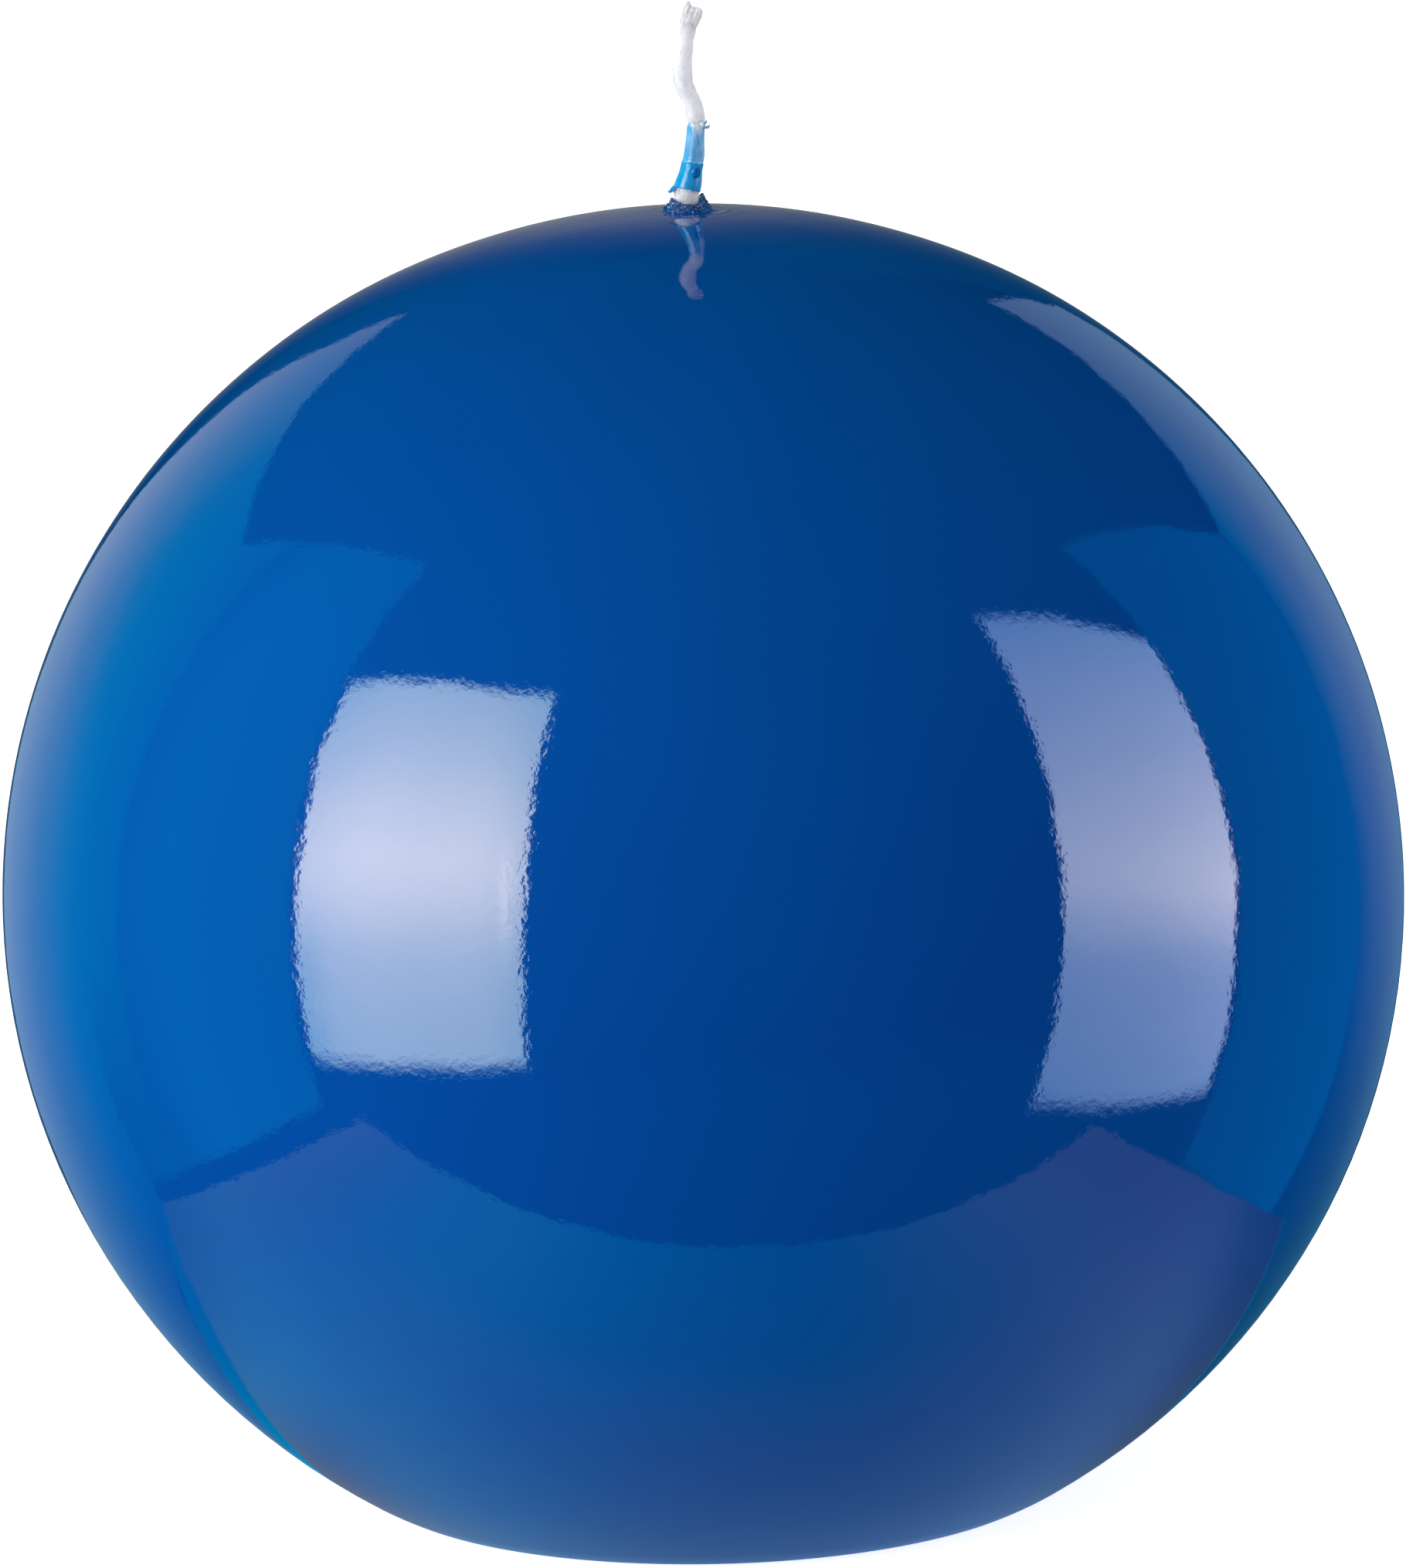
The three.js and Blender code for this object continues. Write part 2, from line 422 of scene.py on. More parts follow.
def add_camera(distance=720.0, elevation=11.45, roll=1.27, up_by=0.622, lens=231.06):
    """Looks at the ball from the front, slightly from above, aimed a little over its middle."""
    e, r = math.radians(elevation), math.radians(roll)
    middle = Vector((0, 0, WAIST))
    back = Vector((0, -math.cos(e), math.sin(e)))
    right, up = Vector((1, 0, 0)), Vector((0, math.sin(e), math.cos(e)))
    x_axis = right * math.cos(r) - up * math.sin(r)
    y_axis = right * math.sin(r) + up * math.cos(r)
    turn = Matrix((x_axis, y_axis, back)).transposed()
    turn = turn @ Matrix.Rotation(math.radians(up_by), 3, "X")
    data = bpy.data.cameras.new("camera")
    data.lens, data.sensor_width = lens, 36
    data.clip_start, data.clip_end = 0.05, 60
    camera = bpy.data.objects.new("camera", data)
    camera.matrix_world = Matrix.Translation((middle + back * distance) * MM) @ turn.to_4x4()
    bpy.context.scene.collection.objects.link(camera)
    bpy.context.scene.camera = camera


add_camera()


# ---- The ball -----------------------------------------------------------------------------------

def real_surface(r, angle, z):
    """Moves a point of the even outline to the real surface of the lacquer."""
    fuller, lower = 0.15, 0.13  # the ball is fuller low on its right, and its crown is lower
    r += fuller * max(0.0, math.cos(angle)) ** 2 * hump(z, 20, 20)
    z -= lower * (1 - ease((r - 14) / 14)) * (z > WAIST)
    if z < POLE - 6:
        return r, z

    # The lacquer creeps up to the wick, with a faint ring of ripples round it.
    uneven = 0.5 + 0.5 * fbm(1.1 * math.cos(angle), 1.1 * math.sin(angle), 3.7)
    creep = (0.03 + 0.06 * uneven) * hump(r, OPENING, 0.22)
    strong = 0.35 + 0.65 * math.cos((angle - 0.3) / 2) ** 2
    ring = 0.026 * strong * hump(r, 2.75 + 0.2 * uneven, 0.20)
    trough = -0.03 * strong * hump(r, 2.25 + 0.1 * uneven, 0.28)
    outer = 0.011 * strong * hump(r, 3.7, 0.35)
    return r, z + creep + ring + trough + outer


def make_ball():
    crown_radius, steps = 9, 90  # the rows are finer inside this radius
    side = outline(0, OPENING)
    top = [(r, z) for r, z in side if r > crown_radius]
    crown = []
    for i in range(1, steps + 1):
        r = crown_radius + (OPENING - crown_radius) * (i / steps) ** 0.8
        crown.append((r, WAIST + SQUASH * math.sqrt(RADIUS**2 - r * r)))
    edge = side[0][0]  # where the lacquer ends, in the foot
    foot = [(edge - 0.32, 0.9), (edge - 0.28, 0.05), (edge - 0.22, 0.0), (edge - 0.04, 0.0)]
    lip = [(OPENING - 0.06, crown[-1][1] - 0.05), (OPENING - 0.08, crown[-1][1] - 0.7)]
    ball = turned(
        "ball_lacquer", foot + top + crown + lip, lacquer, "blue_lacquer", 320, real_surface)
    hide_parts("lacquer_skin")

    # Under the lacquer, the dipped coat shows as a ring in the foot and round the wick.
    outer = edge - 0.3
    inner = outline(COAT_INSIDE, 1)[0][0] - 1.1
    ring = [
        (inner - 0.02, 1.5), (inner, 0.03), (inner + 0.15, 0.0), (outer - 0.1, 0.0),
        (outer, 0.02), (outer, 1.0),
    ]
    coat = turned(
        "dipped_coat", ring, dipped_wax, "blue_wax", 256,
        lambda r, a, z: (r + 0.12 * fbm(math.cos(a) * 3, math.sin(a) * 3, z), z))
    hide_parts("overdip_coat")
    collar = [(OPENING + 0.1, POLE - 0.75), (OPENING - 0.1, POLE - 0.32), (0.6, POLE - 0.3)]
    under = turned("dipped_collar", collar, dipped_wax, "blue_wax", 96)
    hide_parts("overdip_coat")


def make_foot():
    """The levelled foot: pressed wax round a pocket that holds the wick's tinplate disc."""
    rim = outline(COAT_INSIDE, 1)[0][0] - 1.0
    pocket, steps = 7.25, 44  # the pocket's radius, and rows of points between it and the rim
    flat_end = pocket + 0.25
    face = [(rim + 0.05, 1.3), (rim, 0.02), (rim - 0.25, 0.0)]
    face += [(rim + (flat_end - rim) * i / steps, 0.0) for i in range(1, steps + 1)]
    face += [(pocket + 0.1, 0.02), (pocket + 0.02, 0.1), (pocket, 0.78)]
    face += [(1.7, 0.85), (1.62, 2.0), (1.6, 5.5), (0.9, 5.6)]  # and round the disc's neck

    def pitted(r, angle, z):
        if z > 0.001 or r < pocket + 0.15:
            return r, z
        x, y = r * math.cos(angle), r * math.sin(angle)
        hollows = 0.05 * fbm(x * 0.35, y * 0.35, 1.0, 4)
        return r, max(0.0, hollows + 0.03 * fbm(x * 2.1, y * 2.1, 5.0))

    core = turned("pressed_core", face, pressed_wax, "white_wax", 256, pitted)
    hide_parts("wax_core")

    low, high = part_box("wick_sustainer")
    disc, bottom, top = (high.x - low.x) / 2 / MM, low.z / MM, high.z / MM
    bead = [
        (disc - 0.05, bottom + 0.3), (disc, bottom + 0.2), (disc, bottom + 0.06),
        (disc - 0.08, bottom), (disc - 0.5, bottom), (disc - 0.7, bottom + 0.1),
        (disc - 1.0, bottom + 0.1), (disc - 1.2, bottom),
    ]
    throat = [(2.1, bottom), (1.6, bottom + 0.06), (1.25, bottom + 0.3), (1.05, bottom + 0.9),
              (1.05, bottom + 2.2), (0.87, bottom + 3.0), (1.05, bottom + 3.8), (1.05, top),
              (1.33, top), (1.35, bottom + 3.8), (1.15, bottom + 3.0), (1.35, bottom + 2.2),
              (1.35, bottom + 0.6), (1.7, bottom + 0.35), (disc - 0.05, bottom + 0.3)]
    clip = turned("sustainer_disc", bead + throat, tinplate, "tinplate", 160)
    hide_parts("wick_sustainer")


make_ball()
make_foot()


# ---- The wick -----------------------------------------------------------------------------------

def make_wick():
    """A braid of cotton: strands cross over each other in two directions."""
    around, rows = 48, 330
    low, high = -1.5, 14.15
    crossing = 2.6  # how fast the strands turn round the wick, in radians per millimetre
    points = []
    for i in range(rows):
        h = low + (high - low) * i / (rows - 1)
        centre, right, back = wick_frame(h)
        base = cotton_radius(h)
        close = min(1.0, math.sqrt(max(0.0, (high - h) / 0.5)))
        for j in range(around):
            a = 2 * math.pi * j / around
            over = abs(math.sin(1.5 * a + crossing * h))
            over += abs(math.sin(1.5 * a - crossing * h + 0.9))
            x, y = math.cos(a), math.sin(a)
            lump = 0.045 * fbm(x * 1.3, y * 1.3, h * 1.1) + 0.03 * fbm(x * 4, y * 4, h * 3.4)
            r = (base - 0.02 + 0.028 * (over - 1.2) + lump) * (0.25 + 0.75 * close)
            points.append(centre + right * (r * x) + back * (r * y))
    faces = grid_faces(rows, around)
    faces.append(tuple(range((rows - 1) * around, rows * around)))
    faces.append(tuple(range(around - 1, -1, -1)))
    braid = new_piece("wick_braid", points, faces, cotton, "cotton")

    bore, steps, bore_radius = Strands(24), 12, 0.72
    tail_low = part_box("wick")[0].z / MM
    heights = [tail_low + (POLE - 1.0 - tail_low) * i / steps for i in range(steps + 1)]
    bore.add([Vector((0, 0, z)) for z in heights], [bore_radius] * (steps + 1))
    tail = new_piece("wick_in_bore", bore.points, bore.faces, cotton, "cotton")
    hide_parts("wick")
    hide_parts("wick")


def make_fuzz():
    """Short loose fibres on the bare cotton, above the film and below it."""
    count, thick, steps = 1100, 0.016, 5
    hairs = Strands(3)
    for _ in range(count):
        h = rng.uniform(6.1, 14.0) if rng.random() < 0.6 else rng.uniform(0.35, 1.5)
        a = rng.uniform(0, 2 * math.pi)
        length = rng.uniform(0.25, 0.75)
        lean = rng.choice((-1, 1)) * rng.uniform(0.5, 1.0)
        swing = rng.uniform(-0.9, 0.9)
        lift = rng.uniform(0.03, 0.16)
        path = []
        for i in range(steps + 1):
            t = i / steps
            r = cotton_radius(h) - 0.03 + lift * math.sin(math.pi * min(1, t * 0.8)) * t
            path.append(round_wick(h + lean * length * t, a + swing * t * length, r))
        hairs.add(path, [thick * (1 - 0.7 * i / steps) for i in range(steps + 1)])
    fuzz = new_piece("wick_fuzz", hairs.points, hairs.faces, fibres, "cotton")
    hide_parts("wick")


TUFTS = (  # share of the loose fibres; x, radius, height above the ball's top
    (0.36, ((0.0, 0.32, 12.9), (0.06, 0.40, 13.6), (0.13, 0.36, 14.2), (0.28, 0.20, 14.7),
            (0.38, 0.03, 15.08))),
    (0.24, ((0.2, 0.36, 12.8), (0.36, 0.46, 13.5), (0.5, 0.42, 14.1), (0.58, 0.30, 14.45),
            (0.63, 0.10, 14.66))),
    (0.40, ((0.42, 0.30, 12.9), (0.62, 0.40, 13.5), (0.82, 0.42, 14.05), (0.95, 0.30, 14.4),
            (1.0, 0.10, 14.6))),
)


def tuft_spot(tuft, h):
    """The middle and radius of a tuft at a height."""
    x, radius = smooth_between(tuft, h)
    return Vector((x, 0.1 - 0.27 * h, POLE + h)), max(0.02, radius)


def make_frayed_end():
    """The cut end opens into a pointed tuft on the left and blunt ones to its right."""
    fibre_count, rows = 300, 24
    widths = (0.4, 0.8, 1, 1, 1, 0.9, 0.8, 0.6, 0.2)  # along a fibre
    bodies, strands = Strands(24), Strands(5)
    for share, tuft in TUFTS:
        low, high = tuft[0][-1], tuft[-1][-1]
        spots = [tuft_spot(tuft, low + (high - low) * (i / (rows - 1))) for i in range(rows)]
        bodies.add([spot for spot, _ in spots], [radius for _, radius in spots])
        for _ in range(round(fibre_count * share)):
            a, start = rng.uniform(0, 2 * math.pi), rng.uniform(low - 0.2, low + 0.8)
            end = rng.uniform(start + 0.7, high + 0.06)
            twist, stray = rng.uniform(-0.5, 0.5), rng.uniform(0.0, 0.09)
            path = []
            for i in range(len(widths)):
                t = i / (len(widths) - 1)
                spot, radius = tuft_spot(tuft, start + (end - start) * t)
                around, out = a + twist * t, radius + 0.008 + stray * t * t
                path.append(spot + Vector((out * math.cos(around), out * math.sin(around), 0)))
            thick = rng.uniform(0.018, 0.034)
            strands.add(path, [thick * width for width in widths])
    body = new_piece("wick_tufts", bodies.points, bodies.faces, fibres, "cotton")
    end = new_piece("wick_frayed_end", strands.points, strands.faces, fibres, "cotton")
    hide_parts("wick")
    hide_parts("wick")


make_wick()
make_fuzz()
make_frayed_end()


# ---- The film of wax on the wick ----------------------------------------------------------------

FILM_LOW, FILM_HIGH = 1.3, 6.2  # heights above the ball's top
STEP = 3.3  # where the second dip ends
STEP_LENGTH = 0.03  # over which its edge falls away


def facing(angle):
    """How far a ring's point leans down in front, where the wick tips forward."""
    return 0.36 * max(0.0, -math.sin(angle))


def film_outside(h, angle):
    """Radius of the film's outside. It is thicker below the second dip's edge."""
    edge = STEP + facing(angle) + 0.07 * fbm(math.cos(angle) * 1.5, math.sin(angle) * 1.5, 8.0)
    step = 1 / (1 + math.exp((h - edge) / STEP_LENGTH))
    rim = 0.025 * hump(h, edge - 0.05, 0.06)
    sag = 0.014 * fbm(math.cos(angle) * 2, math.sin(angle) * 2, h * 2.2)
    right = max(0.0, math.cos(angle))
    bulge = 0.07 * right * (hump(h, 4.0, 0.7) + 0.8 * hump(h, 1.9, 0.45))
    flare = 0.07 * ease((2.9 - h) / 1.6)
    return cotton_radius(h) + 0.045 + 0.03 * step + rim + sag + bulge + flare


def make_film():
    around, rows = 120, 110
    points, thick = [], []
    for inside in (False, True):  # the outside goes up and the inside comes down again
        for i in range(rows):
            t = 1 - i / (rows - 1) if inside else i / (rows - 1)
            for j in range(around):
                a = 2 * math.pi * j / around
                x, y = math.cos(a), math.sin(a)
                low = FILM_LOW + facing(a) + 0.10 * fbm(x * 2.4, y * 2.4, 1.0)
                high = FILM_HIGH + facing(a) * 0.7 + 0.06 * x
                high += 0.10 * fbm(x * 2.2, y * 2.2, 2.0, 4) + 0.07 * fbm(x * 7, y * 7, 4.0)
                h = low + (high - low) * t
                taper = ease(min((1 - t) / 0.05, 0.4 + t / 0.02))
                outside = film_outside(h, a)
                skin = 0.05 + 0.035 * (h < STEP)
                if inside:
                    r = outside - skin - 0.04 * (1 - taper)
                else:
                    r = outside - (1 - taper) * (skin + 0.01)
                points.append(round_wick(h, a, r))
                second = 1 / (1 + math.exp((h - STEP - facing(a)) / STEP_LENGTH))
                middle = hump(a, 4.9, 0.75)
                fade = max(0.0, 1 - (high - h) / (0.25 + 1.3 * middle)) * (0.35 + 0.65 * middle)
                # Paler on the right front: painted light on the shaded side, and partly a thinner
                # film there.
                painted_light_side = 0.16 * hump(a, 5.9, 0.7)
                rim = 0.28 * hump(h, STEP + facing(a) - 0.03, 0.045) * (x < 0.25)
                thick.append(0.5 + 0.25 * second - 0.5 * fade - painted_light_side - rim)
    faces = grid_faces(2 * rows, around) + closing(2 * rows, around)
    sleeve = new_piece("wick_film", points, faces, film, "film_wax", values={"thick": thick})
    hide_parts("wick_film_lower", "wick_film_upper")


def scrap(name, h, angle, along, across, proud, curl, thickness, tone):
    """A loose scrap of film that stands off the wick: a curved, ragged little sheet.

    It starts at height h and runs along the wick, and its free end stands proud of it. tone
    is how deep its colour is.
    """
    columns, rows = 14, 12
    points, thick = [], []
    for side in (0, 1):
        for i in range(rows):
            for j in range(columns):
                u, v = i / (rows - 1), j / (columns - 1) - 0.5
                ragged = 1 + 0.35 * fbm(v * 5, h, u * 3)
                a = angle + curl * u + v * across * (1 - 0.45 * u) * ragged
                lift = proud * u**1.3 * ragged - thickness * side
                height = h + along * u + 0.08 * fbm(u * 4, v * 4, h) + 0.25 * v * proud * u
                points.append(round_wick(height, a, film_outside(h, a) - 0.02 + lift))
                thick.append(tone + 0.2 * (1 - u))
    faces = []
    size = rows * columns
    for side in (0, 1):
        for i in range(rows - 1):
            for j in range(columns - 1):
                a = side * size + i * columns + j
                quad = (a, a + 1, a + columns + 1, a + columns)
                faces.append(quad if side == 0 else quad[::-1])
    border = list(range(columns)) + [i * columns + columns - 1 for i in range(1, rows)]
    border += [(rows - 1) * columns + j for j in range(columns - 2, -1, -1)]
    border += [i * columns for i in range(rows - 2, 0, -1)]
    for k, a in enumerate(border):
        b = border[(k + 1) % len(border)]
        faces.append((b, a, a + size, b + size))
    piece = new_piece(name, points, faces, film, "film_wax", values={"thick": thick})
    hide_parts("wick_film_upper")


def make_drop():
    """A drop of thick lacquer that set on the film, at the right of its front."""
    angle, h, wide, tall, proud = math.radians(-61), 2.84, 0.43, 0.40, 0.09
    rings, spokes = 14, 36
    wick_radius = 0.84  # of the film there, to turn millimetres across into an angle
    points = []
    for i in range(rings + 1):
        t = i / rings
        for j in range(spokes):
            a = 2 * math.pi * j / spokes
            wobble = 1 + 0.12 * fbm(math.cos(a) * 1.4, math.sin(a) * 1.4, 6.0)
            across, along = wide * t * wobble * math.cos(a), tall * t * wobble * math.sin(a)
            along += 0.26 * t * hump(a, 1.2, 0.4)  # a tail where it ran down from
            turn = angle + across / wick_radius
            lift = proud * math.sqrt(max(0.0, 1 - t**2.4)) - 0.03
            points.append(round_wick(h + along, turn, film_outside(h, turn) + lift))
    faces = grid_faces(rings + 1, spokes)
    piece = new_piece("wick_drop", points, faces, drop, "film_wax")
    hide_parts("wick_film_lower")


make_film()
scrap("film_scrap_top", 5.95, math.radians(-30), 0.12, 0.7, 0.36, 0.3, 0.035, 0.28)
scrap("film_scrap_tip", 6.05, math.radians(10), 0.3, 0.35, 0.14, -0.2, 0.035, 0.4)
scrap("film_lip", 1.52, math.radians(-168), -0.42, 0.8, 0.33, -0.1, 0.10, 0.85)
make_drop()


# ---- The crust round the foot of the free wick --------------------------------------------------

def crust_height(a):
    """Low in front, higher on the left, with a lump on the right."""
    left, right = max(0.0, -math.cos(a - 0.1)), max(0.0, math.cos(a - 0.2))
    height = 0.40 + 0.26 * left**2 + 0.46 * right**4 + 0.16 * max(0.0, math.sin(a))
    return height + 0.10 * fbm(math.cos(a) * 2.6, math.sin(a) * 2.6, 2.0)


def make_collar():
    """A broken ring of lacquered wax, higher on its right."""
    section = (  # radius, share of the crust's height
        (1.80, -0.5), (1.72, -0.1), (1.52, 0.16), (1.34, 0.48), (1.14, 0.92), (0.98, 1.0),
        (0.88, 0.7), (0.86, -0.2))
    around, steps = 170, 5
    rows = []
    for i in range(len(section) - 1):
        for k in range(steps):
            (r0, t0), (r1, t1) = section[i], section[i + 1]
            rows.append((r0 + (r1 - r0) * k / steps, t0 + (t1 - t0) * k / steps))
    points = []
    for r0, t in rows:
        for j in range(around):
            a = 2 * math.pi * (j + rng.uniform(-0.3, 0.3)) / around
            x, y = math.cos(a), math.sin(a)
            spot = Vector((r0 * x, r0 * y, t))
            rough = 0.10 * fbm(*(spot * 2.6), 4) - 0.10 * abs(fbm(*(spot * 7.0), 2))
            rough += rng.uniform(-0.012, 0.012)
            r = r0 + 0.03 + rough * 0.8 + 0.05 * fbm(x * 2, y * 2, 9.0)
            points.append((r * x, r * y, POLE + t * crust_height(a) + rough * (0.3 + t)))
    collar = new_piece(
        "crust_collar", points, grid_faces(len(rows), around), crust, "crust_wax", smooth=False)
    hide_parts("wick_crust")


def make_crumbs():
    """Crumbs on the collar: little faceted lumps with a belt of six corners."""
    count, layers = 170, ((-0.5, 4), (0.0, 6), (0.5, 4))  # height and corners of each layer
    belt = ((0, 0, 1), (0, 1, 2), (1, 2, 3), (2, 3, 4), (2, 4, 5), (3, 5, 0))
    points, faces = [], []
    for _ in range(count):
        a = rng.uniform(0, 2 * math.pi)
        t = rng.random()
        r = 1.7 - 0.55 * t
        z = POLE + (t**1.2 + rng.uniform(-0.08, 0.06)) * crust_height(a)
        size = rng.uniform(0.03, 0.08)
        spin = Matrix.Rotation(rng.uniform(0, 6.28), 3, "Z")
        spin = spin @ Matrix.Rotation(rng.uniform(0, 6.28), 3, "X")
        start = len(points)
        for layer, corners in layers:
            for j in range(corners):
                b = 2 * math.pi * (j + rng.uniform(-0.2, 0.2)) / corners
                grow = size * rng.uniform(0.7, 1.2) * (1 if layer == 0 else 0.6)
                corner = Vector((grow * math.cos(b), grow * math.sin(b), layer * size * 0.9))
                points.append(spin @ corner + Vector((r * math.cos(a), r * math.sin(a), z)))
        low, mid, top = start, start + 4, start + 10
        faces.append((low + 3, low + 2, low + 1, low))
        faces.append((top, top + 1, top + 2, top + 3))
        for corner, m1, m2 in belt:
            faces.append((mid + m1, mid + m2, low + corner))
            faces.append((mid + m2, mid + m1, top + corner))
        for corner, m in ((0, 1), (1, 2), (2, 4), (3, 0)):
            after = (corner + 1) % 4
            faces.append((low + corner, low + after, mid + m))
            faces.append((top + after, top + corner, mid + m))
    crumbs = new_piece("crust_crumbs", points, faces, crust, "crust_wax", smooth=False)
    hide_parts("wick_crust")


make_collar()
make_crumbs()


# ---- The studio: sheets that show only in reflections -------------------------------------------

SOFTBOX_AWAY, WALL_AWAY, SWEEP_AWAY, DOME_RADIUS = 700, 900, 950, 2500
CARD_Z, FLOOR_Z = -0.05, -0.03  # reflections see the card and not the floor


def glow_material():
    material = bpy.data.materials.new("studio_glow")
    material.use_nodes = True
    tree = material.node_tree
    tree.nodes.clear()
    colour = tree.nodes.new("ShaderNodeAttribute")
    colour.attribute_name = "glow"
    emission = tree.nodes.new("ShaderNodeEmission")
    out = tree.nodes.new("ShaderNodeOutputMaterial")
    tree.links.new(colour.outputs["Color"], emission.inputs["Color"])
    tree.links.new(emission.outputs[0], out.inputs["Surface"])
    return material


glow = glow_material()


def reflected(name, points, faces, colours):
    """A sheet of the studio that shows only in reflections. colours holds an RGBA per point."""
    piece = new_piece(name, points, faces, glow)
    piece.data.attributes.new("glow", "FLOAT_COLOR", "POINT").data.foreach_set("color", colours)
    for ray in ("camera", "diffuse", "transmission", "volume_scatter", "shadow"):
        setattr(piece, "visible_" + ray, False)


def open_grid(rows, columns):
    """Quads between successive open rows of points."""
    corners = [i * columns + j for i in range(rows - 1) for j in range(columns - 1)]
    return [(a, a + 1, a + columns + 1, a + columns) for a in corners]


def panel(name, corners, colour, steps=60):
    """A sheet between four corners.

    The corners go top left, top right, bottom right, bottom left. colour(u, v) is its light,
    with u from left to right and v from top to bottom.
    """
    top_left, top_right, bottom_right, bottom_left = [Vector(c) for c in corners]
    points, colours = [], []
    for i in range(steps + 1):
        for j in range(steps + 1):
            u, v = j / steps, i / steps
            points.append(top_left.lerp(top_right, u).lerp(bottom_left.lerp(bottom_right, u), v))
            colours += [*colour(u, v), 1.0]
    reflected(name, points, open_grid(steps + 1, steps + 1), colours)


def stand(azimuth, distance, *spots):
    """Corners on an upright plane round the ball, each (sideways, height) from its middle."""
    a = math.radians(azimuth)
    out, side = Vector((math.sin(a), -math.cos(a), 0)), Vector((math.cos(a), math.sin(a), 0))
    return [out * distance + side * s + Vector((0, 0, WAIST + z)) for s, z in spots]


def wall(name, azimuth, ends, colour, across=60, down=14):
    """An upright sheet whose sides need not be straight.

    Each row of ends holds the (sideways, height) of its two ends, from the top row down.
    colour(sideways, height) is its light.
    """
    lines = []
    for (left, right), (next_left, next_right) in zip(ends, ends[1:]):
        for i in range(down):
            t = i / down
            lines.append((
                Vector(left).lerp(Vector(next_left), t), Vector(right).lerp(Vector(next_right), t)))
    points, colours = [], []
    for start, end in lines:
        line = [start.lerp(end, j / across) for j in range(across + 1)]
        points += stand(azimuth, WALL_AWAY, *line)
        for side, height in line:
            colours += [*colour(side, height), 1.0]
    reflected(name, points, open_grid(len(lines), across + 1), colours)


# The softboxes: their level against how far down they are, and the left one's against how far
# across.
LEFT_LEVELS = [(6.8, 0), (7.5, 0.04), (10.8, 0.24), (15.4, 0.42), (17.4, 0.52), (15.8, 0.60),
               (10.6, 0.73), (8.5, 0.86), (7.4, 1)]
LEFT_SPREAD = [(0.78, 0), (1.0, 0.3), (1.0, 0.55), (0.97, 0.78), (0.82, 0.93), (0.72, 1)]
RIGHT_LEVELS = [(2.0, 0), (3.4, 0.17), (4.9, 0.33), (6.5, 0.45), (8.3, 0.58), (6.6, 0.65),
                (4.1, 0.72), (3.1, 0.87), (2.4, 1)]


def edges(u, v, bottom):
    """1 inside a softbox, falling to 0 at its edges. bottom is the fall's share of its height."""
    sides, top = 0.008, 0.05
    across = ease(u / sides) * ease((1 - u) / sides)
    return across * ease(v / top) * ease((1 - v) / bottom)


def lamp(level, inside, green, blue):
    """Softbox light. green and blue give (fixed part, share of the level) for those channels."""
    level *= inside
    rest = 0.12 + 0.88 * inside
    return level, green[0] * rest + green[1] * level, blue[0] * rest + blue[1] * level


def left_softbox(u, v):
    level = smooth_between(LEFT_LEVELS, v)[0] * smooth_between(LEFT_SPREAD, u)[0]
    level += 5.0 * hump(u, 0.905, 0.018) * hump(v, 0.60, 0.10)  # a bright upright streak
    level -= 1.6 * hump(u, 0.05, 0.06) * ease((v - 0.6) / 0.2)
    return lamp(level, edges(u, v, 0.05), (3.9, 0.58), (4.9, 0.41))


def right_softbox(u, v):
    level = smooth_between(RIGHT_LEVELS, v)[0] * (0.88 + 0.2 * u)
    return lamp(level, edges(u, v, 0.04), (1.7, 0.69), (4.4, 0.5))


def left_wall(u, v):  # u runs from the back to the front
    front = ease(u / 0.6)
    green, blue = 0.42 + 0.55 * front, 0.65 + 0.95 * front
    if u < 0.24:  # a brighter strip at the back
        green, blue = 0.85, 1.2
    low = 1 - 0.6 * ease((v - 0.6) / 0.35) * (1 - front)
    return 0, green * low, blue * low


def right_wall(u, v):
    return 0, 0.46 - 0.16 * u, 1.05 - 0.2 * u


# The dim walls behind the ball: white, green and blue against the sideways distance, and how
# each of them changes with the height.
LEFT_FAR = [(0.28, 0.43, 0.56, -700), (0.29, 0.44, 0.58, -500), (0.32, 0.50, 0.62, -400),
            (0.35, 0.53, 0.68, -330), (0.37, 0.60, 0.77, -190), (0.34, 0.65, 0.80, -79),
            (0.25, 0.68, 0.84, 31), (0.15, 0.76, 0.97, 143), (0.04, 0.82, 1.10, 240),
            (0, 0.86, 1.2, 357)]
LOW_LEFT = [(0.08, 0.3, 0.5, -640), (0.15, 0.4, 0.65, -560), (0.27, 0.55, 0.8, -458),
            (0.46, 0.68, 0.88, -363), (0.68, 0.8, 0.97, -258), (0.87, 0.93, 1, -142),
            (1, 1, 1, -47), (1.12, 1.05, 1, 63), (1.12, 1.05, 1, 606)]
RIGHT_FAR = [(0.12, 0.24, 0.42, -700), (0.12, 0.25, 0.45, -380), (0.16, 0.30, 0.54, -262),
             (0.185, 0.33, 0.60, -110), (0.16, 0.32, 0.67, 0), (0.12, 0.31, 0.74, 100),
             (0.0, 0.27, 0.76, 230)]
LOW_RIGHT = [(0, 0.35, 0.35, -620), (0.08, 0.4, 0.4, -460), (0.22, 0.55, 0.6, -345),
             (0.58, 0.8, 0.85, -240), (0.95, 1, 1, -140), (1.15, 1.1, 1.05, -40),
             (1.3, 1.25, 1.1, 60), (1.4, 1.3, 1.1, 470)]


def left_far(side, height):
    _, green, blue = smooth_between(LEFT_FAR, side)
    white = smooth_between(LEFT_FAR, side + 190 * ease((height + 50) / 500))[0]
    low = smooth_between(LOW_LEFT, height)
    return white * low[0], green * low[1], blue * low[2]


